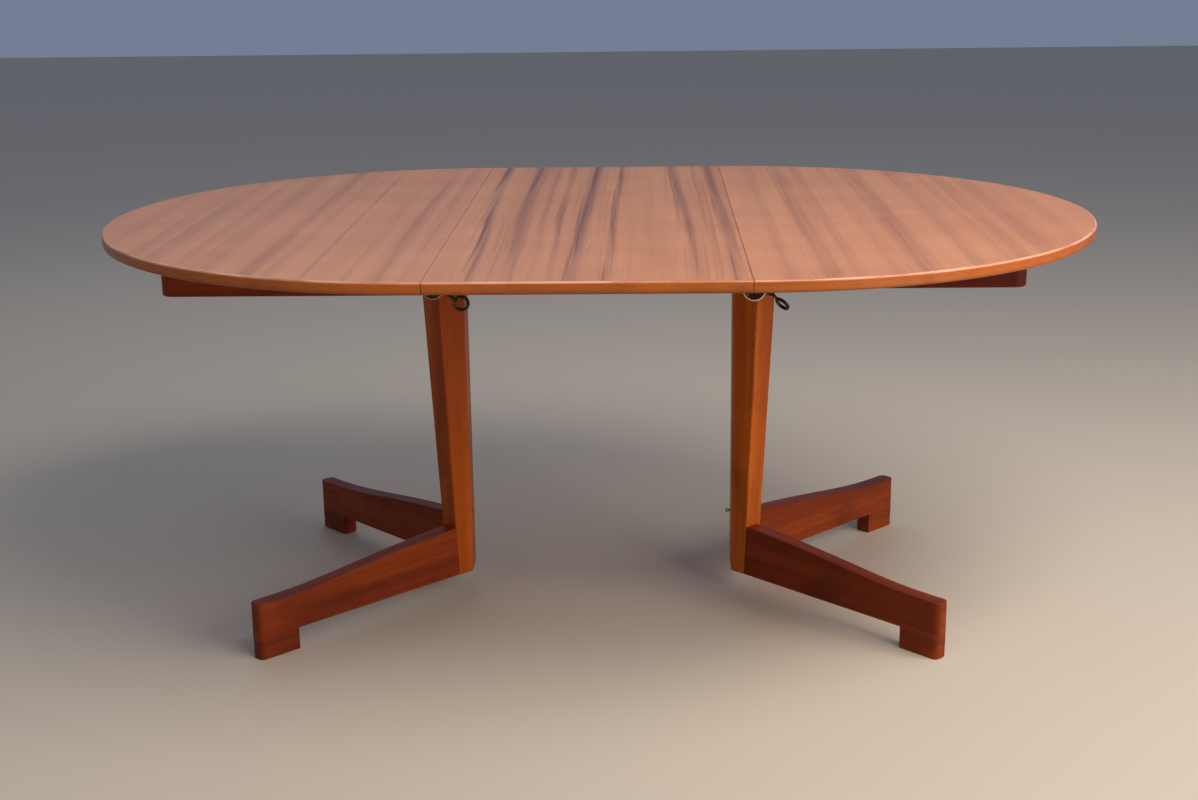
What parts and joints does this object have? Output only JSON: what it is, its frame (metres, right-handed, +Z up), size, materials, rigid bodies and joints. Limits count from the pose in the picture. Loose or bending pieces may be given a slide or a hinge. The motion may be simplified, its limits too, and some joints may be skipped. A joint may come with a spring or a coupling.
{
  "type": "extending dining table",
  "caption": "Oval-ended extending dining table: half-round tops on split posts with splayed arms, and a loose centre leaf held over slide rails by hooked catches.",
  "frame": {"origin": "on the floor, below the middle of the loose leaf", "axes": "+X along the slide rails towards the right half, +Z up, the front is the -Y side"},
  "size_m": [1.7438, 1.26, 0.712],
  "materials": {
    "teak_veneer": "satin lacquered straight-grained veneer with dark figure streaks",
    "teak_solid": "satin lacquered solid wood, orange brown",
    "teak_dark": "satin lacquered solid wood, darker red brown",
    "beech": "plain sanded hardwood",
    "core_board": "flat veneered board, plain below",
    "brass": "darkened brass, rubbed bright on its rounded edges",
    "steel": "dull plated screws and pins"
  },
  "bodies": {
    "left_half": {"left_arm_back": "teak_dark", "left_arm_dowels": "beech", "left_arm_front": "teak_dark", "left_bearer": "beech", "left_bearer_screws": "steel", "left_bracket_screws": "steel", "left_catch_bracket_back": "brass", "left_catch_bracket_front": "brass", "left_catch_pins": "brass", "left_foot_block_back": "teak_dark", "left_foot_block_front": "teak_dark", "left_post": "teak_solid", "left_rail_back": "teak_dark", "left_rail_front": "teak_dark", "left_rail_screws": "steel", "left_slide_key": "beech", "left_stop_pin": "steel", "left_top_core": "core_board", "left_top_lipping": "teak_solid", "left_top_veneer": "teak_veneer"},
    "right_half": {"post_screw_eye": "brass", "right_arm_back": "teak_dark", "right_arm_dowels": "beech", "right_arm_front": "teak_dark", "right_bearer": "beech", "right_bearer_screws": "steel", "right_bracket_screws": "steel", "right_catch_bracket_back": "brass", "right_catch_bracket_front": "brass", "right_catch_pins": "brass", "right_foot_block_back": "teak_dark", "right_foot_block_front": "teak_dark", "right_post": "teak_solid", "right_rail_back": "teak_dark", "right_rail_front": "teak_dark", "right_rail_screws": "steel", "right_slide_key": "beech", "right_stop_pin": "steel", "right_top_core": "core_board", "right_top_lipping": "teak_solid", "right_top_veneer": "teak_veneer"},
    "leaf": {"leaf_core": "core_board", "leaf_keeper_pins": "brass", "leaf_keeper_plates": "brass", "leaf_keeper_screws": "steel", "leaf_lipping_back": "teak_solid", "leaf_lipping_front": "teak_solid", "leaf_veneer": "teak_veneer"},
    "lever_back_left": {"catch_lever_back_left": "brass"},
    "lever_back_right": {"catch_lever_back_right": "brass"},
    "lever_front_left": {"catch_lever_front_left": "brass"},
    "lever_front_right": {"catch_lever_front_right": "brass"}
  },
  "joints": [
    {"name": "right_half_slide", "type": "slide", "parent": "left_half", "child": "right_half", "axis": [1, 0, 0], "range_m": [0, 0.06]},
    {"name": "leaf_lift", "type": "slide", "parent": "left_half", "child": "leaf", "axis": [0, 0, 1], "range_m": [0, 0.25]},
    {"name": "catch_front_left", "type": "hinge", "parent": "left_half", "child": "lever_front_left", "pos_m": [-0.249, -0.538, 0.6855], "axis": [0, -1, 0], "range_deg": [0, 11]},
    {"name": "catch_front_right", "type": "hinge", "parent": "right_half", "child": "lever_front_right", "pos_m": [0.269, -0.585, 0.6855], "axis": [0, 1, 0], "range_deg": [0, 10]},
    {"name": "catch_back_left", "type": "hinge", "parent": "left_half", "child": "lever_back_left", "pos_m": [-0.269, 0.585, 0.6855], "axis": [0, -1, 0], "range_deg": [0, 10]},
    {"name": "catch_back_right", "type": "hinge", "parent": "right_half", "child": "lever_back_right", "pos_m": [0.249, 0.538, 0.6855], "axis": [0, 1, 0], "range_deg": [0, 11]}
  ]
}
